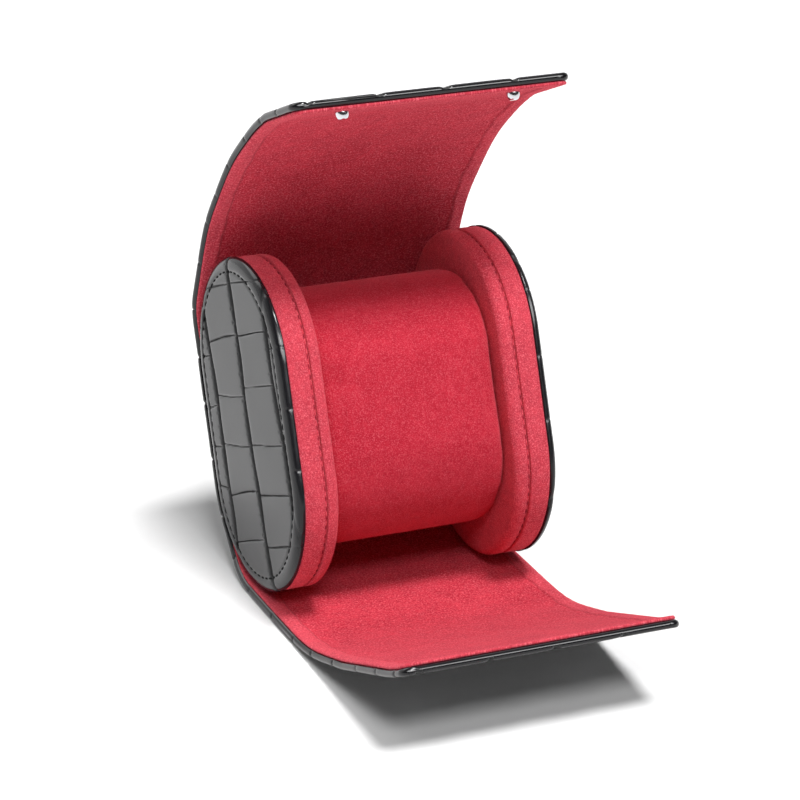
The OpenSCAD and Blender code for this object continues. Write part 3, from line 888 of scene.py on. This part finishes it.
def cover_relief(outer_rows, shift):
    """Relief of a cap's cover: pressed grooves that fade over the rim, and the stitches' furrow."""
    details = bpy.context.scene.case_details
    deepest = details.groove_depth / MM
    seam_r = CAP_R - details.stitch_inset / MM
    crossed = [[place + shift for place in places] for places in CAP_CROSSINGS]

    def relief(y, z, out, x, row, around):
        outside = (row < outer_rows).astype(float)
        deep, near = scales(y - LINES_SLANT * z, z, CAP_LINES, crossed, shift)
        on_side = np.clip((CAP_OUT - x) / RIM_DEEP, 0, 1)
        rim_share = np.clip((out - seam_r - 0.4) / 0.5, 0, 1)
        off_middle = np.clip((np.abs(y) - 16.0) / 4.0, 0, 1)
        deep = deep * (1 - rim_share * (0.4 + 0.45 * off_middle) * (1 - 0.5 * on_side))
        furrow = np.exp(-((out - seam_r) / FURROW_WIDE) ** 2)
        dip = deepest * deep + 0.07 * near + 0.05
        face = -(dip + FURROW_DEEP * furrow) + swell(0.05, y, z, 1.0) * (1 - on_side)
        face = np.minimum(face, 0)
        push_x = face * (1 - on_side) * outside
        push_out = -dip * on_side * outside
        # The mark darkens the grooves and the stitches' furrow with painted shade
        return push_out, push_x, np.maximum(deep, FURROW_MARK * furrow) * outside

    return relief


def around_oval(out, at):
    """Depth, height and angle at a length along an oval at this distance from its middle line."""
    half_turn = math.pi * out
    if at < CAP_STRAIGHT:
        return out, at - CAP_STRAIGHT / 2, 0.0
    if at < CAP_STRAIGHT + half_turn:
        turn = (at - CAP_STRAIGHT) / out
        return out * math.cos(turn), CAP_STRAIGHT / 2 + out * math.sin(turn), turn
    if at < 2 * CAP_STRAIGHT + half_turn:
        return -out, CAP_STRAIGHT / 2 - (at - CAP_STRAIGHT - half_turn), math.pi
    turn = math.pi + (at - 2 * CAP_STRAIGHT - half_turn) / out
    return out * math.cos(turn), -CAP_STRAIGHT / 2 + out * math.sin(turn), turn


def stitches(name, finish, out, x, size, hand):
    """Single stitches in a row round a cap, each pulled a little into its ground.
    size holds half their sizes in millimetres: along x, outwards, and along the row."""
    pitch = bpy.context.scene.case_details.stitch_pitch / MM
    whole = 2 * math.pi * out + 2 * CAP_STRAIGHT
    count = int(round(whole / pitch))
    bm = bmesh.new()
    for i in range(count):
        y, z, turn = around_oval(out, whole * i / count)
        slant = 0.1 * math.sin(5.3 * i)
        place = (Matrix.Translation((hand * x * MM, y * MM, z * MM))
                 @ Matrix.Rotation(turn + slant, 4, "X")
                 @ Matrix.Diagonal([half * MM for half in size] + [1]))
        bmesh.ops.create_uvsphere(bm, u_segments=8, v_segments=6, radius=1.0, matrix=SEAT @ place)
    bmesh.ops.recalc_face_normals(bm, faces=bm.faces)
    return finished(bm, name, finish, turn_out=False)


class CASE_OT_cap_leather(bpy.types.Operator):
    """Makes the embossed covers of both end caps and their stitching"""

    bl_idname = "watch_case.cap_leather"
    bl_label = "Cap leather"

    def execute(self, context):
        # The caps' coat colour is paler than the wrap's as a painted reflection
        finish = leather("embossed_leather_satin", False, context.scene.case_finishes.cap_leather,
                         gloss=0.14, shine=0.34)
        bonded = thread("bonded_polyester_thread", context.scene.case_finishes.thread,
                        CAP_THREAD_DRIFT)
        profile, outer_rows = cover_profile()
        for hand, word in HANDS:
            bm = oval_sweep(hand, profile, CAP_STRAIGHT, 0.0, COVER_STEPS,
                            cover_relief(outer_rows, RIGHT_SHIFT * (hand + 1) / 2))
            piece = finished(bm, f"{word}_cap_leather", finish)
            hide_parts(f"{word}_cap_cover")
            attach(piece, "case")
            inset = context.scene.case_details.stitch_inset / MM
            row = stitches(f"{word}_cap_stitching", bonded, CAP_R - inset,
                           CAP_OUT - CAP_STITCH_SUNK, CAP_STITCH, hand)
            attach(row, "case")
        return {"FINISHED"}


def nap_relief(size, seed):
    """Relief of napped suede, which is outwards only."""
    def relief(y, z, out, x, row, around):
        bump = rough(size, around, x + out * 0.7, seed)
        return bump, 0 * bump, 0 * bump

    return relief


def collar_profile():
    """The suede band next to the rim, crowned a little, with soft edges."""
    low, high = SEAM_OUT, COLLAR_OUT
    edge = 0.55
    points = arc((SUEDE_R - edge, low + edge), (edge, edge), -90, 0, 6)
    for x in steps(low + edge, high - edge, 0.5)[1:-1]:
        crown = math.sin(math.pi * (x - low) / (high - low))
        points.append((SUEDE_R - 0.1 + 0.12 * crown, x))
    points += arc((SUEDE_R - edge, high - edge), (edge, edge), 0, 90, 6)
    points += [(FRAME_R + 0.02, high), (FRAME_R + 0.02, low), points[0]]
    return points


def facing_profile():
    """The padded suede face towards the cushion, with a soft edge, and the inside of its tray."""
    soft = 2.4
    face = [(r, FACING_IN + 0.12 * (r / SUEDE_R) ** 4) for r in steps(0, SUEDE_R - soft, 1.2)[:-1]]
    edge = arc((SUEDE_R - soft, FACING_IN + soft), (soft, soft - 0.1), -90, 0, 14)
    side = [(SUEDE_R, x) for x in steps(FACING_IN + soft, SEAM_IN - 0.5, 0.4)[1:]]
    tuck = [(SUEDE_R - 0.15, SEAM_IN - 0.2), (SUEDE_R - 0.5, SEAM_IN - 0.03)]
    back = [(FRAME_R + 0.02, SEAM_IN - 0.03), (FRAME_R + 0.02, FACING_IN + SUEDE_T),
            (FRAME_R / 2, FACING_IN + SUEDE_T), (0, FACING_IN + SUEDE_T)]
    return face + edge + side + tuck + back


def seam_profile():
    """The sunk seam between collar and facing, which the thread pulls in."""
    half = (SEAM_OUT - SEAM_IN) / 2
    centre = (SUEDE_R - 0.95, (SEAM_OUT + SEAM_IN) / 2)
    points = arc(centre, (0.3, half - 0.02), -90, 90, 7)
    return points + [(FRAME_R + 0.02, SEAM_OUT - 0.02), (FRAME_R + 0.02, SEAM_IN + 0.02), points[0]]


class CASE_OT_cap_suede(bpy.types.Operator):
    """Makes the suede collar, seam and padded facing of both end caps"""

    bl_idname = "watch_case.cap_suede"
    bl_label = "Cap suede"

    def execute(self, context):
        # The caps' suede is paled all over with painted sheen
        finish = suede("suede_microfibre_caps", False, painted_sheen=0.13)
        bonded = thread("polyester_thread_red", context.scene.case_finishes.seam_thread,
                        SEAM_THREAD_DRIFT)
        parts = (("collar", collar_profile(), 0.3), ("seam", seam_profile(), 1.9),
                 ("facing", facing_profile(), 4.4))
        for hand, word in HANDS:
            for part, profile, seed in parts:
                bm = oval_sweep(hand, profile, CAP_STRAIGHT, 0.0, SUEDE_STEPS,
                                nap_relief(NAP_HEIGHT, seed))
                piece = finished(bm, f"{word}_cap_suede_{part}", finish)
                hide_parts(f"{word}_cap_{part}")
                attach(piece, "case")
            row = stitches(f"{word}_cap_seam_stitching", bonded,
                           SUEDE_R - SEAM_STITCH_SUNK, (SEAM_OUT + SEAM_IN) / 2, SEAM_STITCH, hand)
            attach(row, "case")
        return {"FINISHED"}


# --- Cushion ---

# The cushion starts a little small, with round ends, and swells by this much at most
CUSHION_SPARE = 0.15
CUSHION_ROUND = 2.6
CUSHION_VOXEL = 2.2
CUSHION_PRESSURE = 4.0
CUSHION_SWELL = 0.7
SWELL_FRAMES = 20


def inflate(piece, pressure, most):
    """Swells a closed mesh with a cloth simulation, as its filling does, by this many millimetres at most."""
    start = np.array([v.co for v in piece.data.vertices])
    cloth = piece.modifiers.new("swell", "CLOTH")
    cloth.settings.quality = 5
    cloth.settings.mass = 0.2
    cloth.settings.tension_stiffness = 8
    cloth.settings.compression_stiffness = 8
    cloth.settings.bending_stiffness = 0.4
    cloth.settings.use_pressure = True
    cloth.settings.uniform_pressure_force = pressure
    cloth.settings.effector_weights.gravity = 0
    cloth.point_cache.frame_start = 1
    cloth.point_cache.frame_end = SWELL_FRAMES
    scene = bpy.context.scene
    for number in range(1, SWELL_FRAMES + 1):
        scene.frame_set(number)
    shape = piece.evaluated_get(bpy.context.evaluated_depsgraph_get())
    moved = np.array([v.co for v in shape.data.vertices]) - start
    piece.modifiers.remove(cloth)
    scene.frame_set(1)
    far = np.linalg.norm(moved, axis=1)[:, None]
    moved *= np.minimum(1, most * MM / np.maximum(far, 1e-9))
    piece.data.vertices.foreach_set("co", (start + moved).astype(np.float32).ravel())
    piece.data.update()


def apply_modifier(piece, kind, **settings):
    """Adds a modifier with these settings and takes its result as the mesh."""
    step = piece.modifiers.new(kind.lower(), kind)
    for name, value in settings.items():
        setattr(step, name, value)
    shape = piece.evaluated_get(bpy.context.evaluated_depsgraph_get())
    mesh = bpy.data.meshes.new_from_object(shape)
    piece.modifiers.remove(step)
    old = piece.data
    piece.data = mesh
    bpy.data.meshes.remove(old)


def cushion_profile(radius, half, round_end):
    """Half of the cushion's section, from the middle of one end to the middle of the other."""
    end = [(r, -half) for r in steps(0, radius - round_end, 2.0)[:-1]]
    near = arc((radius - round_end, -half + round_end), (round_end, round_end), -90, 0, 8)
    side = [(radius, x) for x in steps(-half + round_end, half - round_end, 1.5)[1:-1]]
    far = arc((radius - round_end, half - round_end), (round_end, round_end), 0, 90, 8)
    back = [(r, half) for r in steps(radius - round_end, 0, 2.0)[1:]]
    return end + near + side + far + back


class CASE_OT_cushion(bpy.types.Operator):
    """Makes the stuffed suede cushion between the caps"""

    bl_idname = "watch_case.cushion"
    bl_label = "Cushion"

    def execute(self, context):
        # The cushion is darkened all over with painted shade, standing in for the shadow of the watch it
        # holds
        finish = suede("suede_microfibre_cushion", False, painted_sheen=0.0, painted_shade=0.45)
        profile = cushion_profile(CUSHION_R - CUSHION_SPARE, FACING_IN - CUSHION_SPARE, CUSHION_ROUND)
        bm = oval_sweep(1, profile, CUSHION_STRAIGHT, CUSHION_Y, CUSHION_STEPS)
        piece = finished(bm, "cushion", finish)
        apply_modifier(piece, "REMESH", mode="VOXEL", voxel_size=CUSHION_VOXEL * MM)
        inflate(piece, CUSHION_PRESSURE, CUSHION_SWELL)
        apply_modifier(piece, "SMOOTH", factor=0.5, iterations=1)
        apply_modifier(piece, "SUBSURF", levels=2, render_levels=2)
        for polygon in piece.data.polygons:
            polygon.use_smooth = True
        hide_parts("cushion_cover", "cushion_ends", "cushion_foam")
        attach(piece, "case")
        return {"FINISHED"}


# --- Snaps ---

def turned(profile, segments=48):
    """Spins a profile of radius and height round the snap's axis."""
    bm = bmesh.new()
    points = [bm.verts.new((r * MM, 0, z * MM)) for r, z in profile]
    edges = [bm.edges.new(pair) for pair in zip(points, points[1:])]
    bmesh.ops.spin(bm, geom=points + edges, cent=(0, 0, 0), axis=(0, 0, 1), dvec=(0, 0, 0),
                   angle=2 * math.pi, steps=segments, use_merge=True)
    bmesh.ops.remove_doubles(bm, verts=bm.verts, dist=0.002 * MM)
    bmesh.ops.recalc_face_normals(bm, faces=bm.faces)
    return bm


def snap_place(side, at, x, depth):
    """Where a snap sits: on the wrap's face at this depth, its axis pointing off the face."""
    y, z, heading = (float(v[0]) for v in trace(side, [at]))
    y += side * depth * math.sin(heading)
    z -= side * depth * math.cos(heading)
    return (SEAT @ Matrix.Translation((x * MM, y * MM, z * MM))
            @ Matrix.Rotation(heading, 4, "X"))


def stud_profile():
    """A plain low dome that stands in the nap."""
    height = SNAP_GAP + STUD_BITE
    foot = STUD_R - 0.15
    top = 0.8
    points = [(0, 0.02), (foot, 0.02), (foot, 0.25)]
    points += arc((top, 0.3), (foot - top, height - 0.32), 4, 89, 18)
    points += [(0, height - 0.02)]
    return points


def socket_profile():
    """Pressed ring round the mouth: a flat foot, a raised crown and a rolled-in lip."""
    mouth = STUD_R + SNAP_PLAY
    outer = mouth + SOCKET_RIM
    height = SNAP_GAP - SNAP_SHEET - SNAP_PLAY
    points = [(mouth, 0.02), (outer - 0.15, 0.02)]
    points += arc((outer - 0.16, 0.18), (0.16, 0.16), -90, 90, 6)
    points += [(outer - 0.55, 0.36), (outer - 0.75, 0.5), (outer - 0.82, height - 0.5)]
    points += arc((outer - 1.3, height - 0.5), (0.48, 0.5), 0, 90, 8)
    points += [(mouth + 0.5, height)]
    points += arc((mouth + 0.45, height - 0.45), (0.45, 0.45), 90, 180, 8)
    points += [(mouth, height - 0.7), (mouth, 0.02)]
    return points


def socket_rivet_profile():
    """The tube through the leather, its flange under it and the spring plate across its bottom."""
    mouth = STUD_R + SNAP_PLAY
    low = LEATHER_IN - WRAP_T
    return [(0, low - SNAP_SHEET), (3.4, low - SNAP_SHEET), (3.4, low - 0.02), (mouth + 0.3, low - 0.02),
            (mouth + 0.3, -0.02), (mouth + 0.02, -0.02), (mouth + 0.02, low), (1.1, low),
            (0.9, low + 0.25), (0.5, low + 0.3), (0, low + 0.3)]


def dress(node, finish):
    """Gives a CAD node its material."""
    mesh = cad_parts[node].data
    mesh.materials.clear()
    mesh.materials.append(finish)


class CASE_OT_snaps(bpy.types.Operator):
    """Makes the chrome studs on the top flap and the sockets on the bottom flap"""

    bl_idname = "watch_case.snaps"
    bl_label = "Snaps"

    def execute(self, context):
        finish = plating("chrome_plated_brass")
        kinds = (
            ("stud", stud_profile(), 1, STUD_AT, 0.05, "top_front", ("snap_studs",)),
            ("socket", socket_profile(), -1, SOCKET_AT, WRAP_T, "bottom_front", ("snap_sockets",)),
            ("socket_rivet", socket_rivet_profile(), -1, SOCKET_AT, WRAP_T, "bottom_front",
             ("socket_rivets",)),
        )
        for kind, profile, side, at, depth, body, nodes in kinds:
            for hand, word in HANDS:
                bm = turned(profile)
                bm.transform(snap_place(side, at, hand * SNAP_X, depth))
                piece = finished(bm, f"snap_{kind}_{word}", finish)
                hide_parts(*nodes)
                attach(piece, body)
        dress("stud_rivets", finish)
        return {"FINISHED"}


class CASE_OT_inner_parts(bpy.types.Operator):
    """Gives the card and foam inside the caps and the cushion their materials"""

    bl_idname = "watch_case.inner_parts"
    bl_label = "Inner parts"

    def execute(self, context):
        card = greyboard("greyboard_pressed")
        soft = foam("polyurethane_foam_cut")
        dress("cushion_tube", card)
        for _, word in HANDS:
            dress(f"{word}_cap_board", card)
            dress(f"{word}_cap_frame", card)
            dress(f"{word}_cap_pad", soft)
        return {"FINISHED"}


# --- Stage ---

FLOOR_HALF = 6.0
FLOOR_DROP = 0.0002
# The camera, fitted to the outlines of the caps and the corners of the flaps: its place and the
# directions to its right and ahead
CAMERA_AT = (-0.4137, -0.87468, 0.487436)
CAMERA_RIGHT = (0.90969, -0.41346, 0.03899)
CAMERA_AHEAD = (0.39253, 0.82538, -0.40578)
CAMERA_LENS = 164.4
# Edges of the strip light that mirrors see: direction's axis, from and to, strength there
STRIP_EDGES = (("Z", 0.4, 0.5, 0.0, 1.0), ("Z", 0.72, 0.8, 1.0, 0.0), ("Y", -0.5, -0.35, 11.0, 0.0))


def paper(name):
    """Matt studio paper: it keeps the shadow, and its own faint light lifts it to white."""
    made, tree, where = material(name)
    tooth = add(tree, "TexNoise", {"Vector": where, "Scale": blobs(1.5)})
    base = layered(tree, linear("#f8f8f8"), (tooth, linear("#fbfbfb")))
    lit = add(tree, "BsdfDiffuse", {"Color": base, "Roughness": 0.5})
    path = add(tree, "LightPath")
    seen = add(tree, "Math", {
        0: (path, "Is Camera Ray"), 1: (path, "Is Glossy Ray")}, operation="MAXIMUM")
    seen = add(tree, "Math", {0: seen, 1: (path, "Is Transmission Ray")}, operation="MAXIMUM")
    faint = add(tree, "Math", {0: seen, 1: 0.03}, operation="MULTIPLY")
    glow = add(tree, "Emission", {"Color": linear("#ffffff"), "Strength": faint})
    both = add(tree, "AddShader", {0: lit, 1: glow})
    add(tree, "OutputMaterial", {"Surface": both})
    return made


def surroundings(name):
    """A white room, faint on the case itself. Mirrored rays see it dark in front, with a strip light."""
    world = bpy.data.worlds.new(name)
    world.use_nodes = True
    tree = world.node_tree
    tree.nodes.clear()
    path = add(tree, "LightPath")
    toward = add(tree, "SeparateXYZ", {0: (add(tree, "TexCoord"), "Generated")})
    strip = None
    for axis, low, high, to_low, to_high in STRIP_EDGES:
        edge = add(tree, "MapRange", {
            "Value": (toward, axis), "From Min": low, "From Max": high,
            "To Min": to_low, "To Max": to_high})
        strip = add(tree, "Math", {0: strip, 1: edge}, operation="MULTIPLY") if strip else edge
    room = add(tree, "MapRange", {
        "Value": (toward, "Y"), "From Min": 0.0, "From Max": 0.55, "To Min": 0.04})
    room = add(tree, "Math", {0: room, 1: strip}, operation="ADD")
    mirrored = add(tree, "Math", {
        0: (path, "Is Glossy Ray"), 1: (path, "Is Transmission Ray")}, operation="MAXIMUM")
    strength = add(tree, "Math", {0: mirrored, 1: room}, operation="MULTIPLY")
    strength = add(tree, "Math", {0: strength, 1: 0.06}, operation="MAXIMUM")
    strength = add(tree, "Math", {0: strength, 1: (path, "Is Camera Ray")}, operation="MAXIMUM")
    sky = add(tree, "Background", {"Color": linear("#ffffff"), "Strength": strength})
    add(tree, "OutputWorld", {"Surface": sky})
    return world


def lamp(name, kind, place, aim, power, **settings):
    """A soft lamp that points at the case."""
    data = bpy.data.lights.new(name, kind)
    data.energy = power
    for setting, value in settings.items():
        setattr(data, setting, value)
    made = bpy.data.objects.new(name, data)
    bpy.context.scene.collection.objects.link(made)
    made.location = place
    made.rotation_euler = (Vector(aim) - Vector(place)).to_track_quat("-Z", "Y").to_euler()


class CASE_OT_stage(bpy.types.Operator):
    """Sets the floor, the lamps, the surroundings and the camera"""

    bl_idname = "watch_case.stage"
    bl_label = "Stage"

    def execute(self, context):
        scene = context.scene
        bm = bmesh.new()
        bmesh.ops.create_grid(bm, x_segments=4, y_segments=4, size=FLOOR_HALF)
        bmesh.ops.translate(bm, verts=bm.verts, vec=(0, 0, -FLOOR_DROP))
        floor = finished(bm, "floor", paper("studio_paper_white"), turn_out=False)
        scene.world = surroundings("studio_surroundings")
        lamp("ceiling_light", "SUN", (0.12, -0.36, 1.25), (0.0, 0.0, 0.0), 3.0, angle=math.radians(15))
        lamp("front_softbox", "AREA", (-0.3, -1.0, 1.2), (0.0, 0.0, 0.05), 6.0, size=0.35)
        lamp("back_softbox", "AREA", (-0.5, 0.9, 1.1), (0.0, 0.05, 0.05), 7.0, size=1.0)
        data = bpy.data.cameras.new("camera")
        data.sensor_width = 36.0
        data.lens = CAMERA_LENS
        data.clip_start = 0.05
        data.clip_end = 30.0
        camera = bpy.data.objects.new("camera", data)
        scene.collection.objects.link(camera)
        right = Vector(CAMERA_RIGHT)
        ahead = Vector(CAMERA_AHEAD)
        up = right.cross(ahead)
        turn = Matrix((right, up, -ahead)).transposed().to_4x4()
        camera.matrix_world = Matrix.Translation(CAMERA_AT) @ turn
        scene.camera = camera
        scene.view_settings.view_transform = "Standard"
        return {"FINISHED"}


STEPS = (
    CASE_OT_wrap_leather,
    CASE_OT_wrap_lining,
    CASE_OT_cap_leather,
    CASE_OT_cap_suede,
    CASE_OT_cushion,
    CASE_OT_snaps,
    CASE_OT_inner_parts,
    CASE_OT_stage,
)


class CASE_PT_steps(bpy.types.Panel):
    """Lists the steps that dress the case, and its colours and sizes"""

    bl_idname = "CASE_PT_steps"
    bl_label = "Watch travel case"
    bl_space_type = "VIEW_3D"
    bl_region_type = "UI"
    bl_category = "Watch case"

    def draw(self, context):
        for step in STEPS:
            self.layout.operator(step.bl_idname)
        for group in (context.scene.case_finishes, context.scene.case_details):
            for name in group.__annotations__:
                self.layout.prop(group, name)


def register():
    for made in (CaseFinishes, CaseDetails) + STEPS + (CASE_PT_steps,):
        bpy.utils.register_class(made)
    bpy.types.Scene.case_finishes = bpy.props.PointerProperty(type=CaseFinishes)
    bpy.types.Scene.case_details = bpy.props.PointerProperty(type=CaseDetails)


def unregister():
    del bpy.types.Scene.case_finishes
    del bpy.types.Scene.case_details
    for made in reversed((CaseFinishes, CaseDetails) + STEPS + (CASE_PT_steps,)):
        bpy.utils.unregister_class(made)


def main():
    register()
    bpy.ops.watch_case.wrap_leather()
    bpy.ops.watch_case.wrap_lining()
    bpy.ops.watch_case.cap_leather()
    bpy.ops.watch_case.cap_suede()
    bpy.ops.watch_case.cushion()
    bpy.ops.watch_case.snaps()
    bpy.ops.watch_case.inner_parts()
    bpy.ops.watch_case.stage()


if __name__ == "__main__":
    main()
